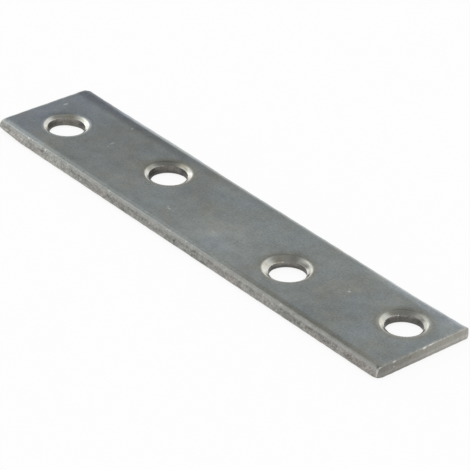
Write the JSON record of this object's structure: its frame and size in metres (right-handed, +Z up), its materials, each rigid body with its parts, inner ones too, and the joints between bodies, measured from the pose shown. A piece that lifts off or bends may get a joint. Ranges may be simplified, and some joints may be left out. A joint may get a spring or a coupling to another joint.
{
  "type": "mending plate",
  "caption": "Flat steel mending plate with rolled long edges and staggered screw holes countersunk from above, for joining or repairing timber end to end.",
  "frame": {"origin": "middle of the plate's underside, which is the face that lies on the work", "axes": "+X along the length, towards the end that the holes lie nearer to, +Y across the width towards the long edge that the rows of holes lie nearer to, +Z up out of the countersunk face"},
  "size_m": [0.0762, 0.016, 0.0018],
  "materials": {
    "steel": "satin bright-dipped mild steel, mottled, with bright cut countersinks"
  },
  "bodies": {
    "root": {"mending_plate": "steel"}
  },
  "joints": []
}
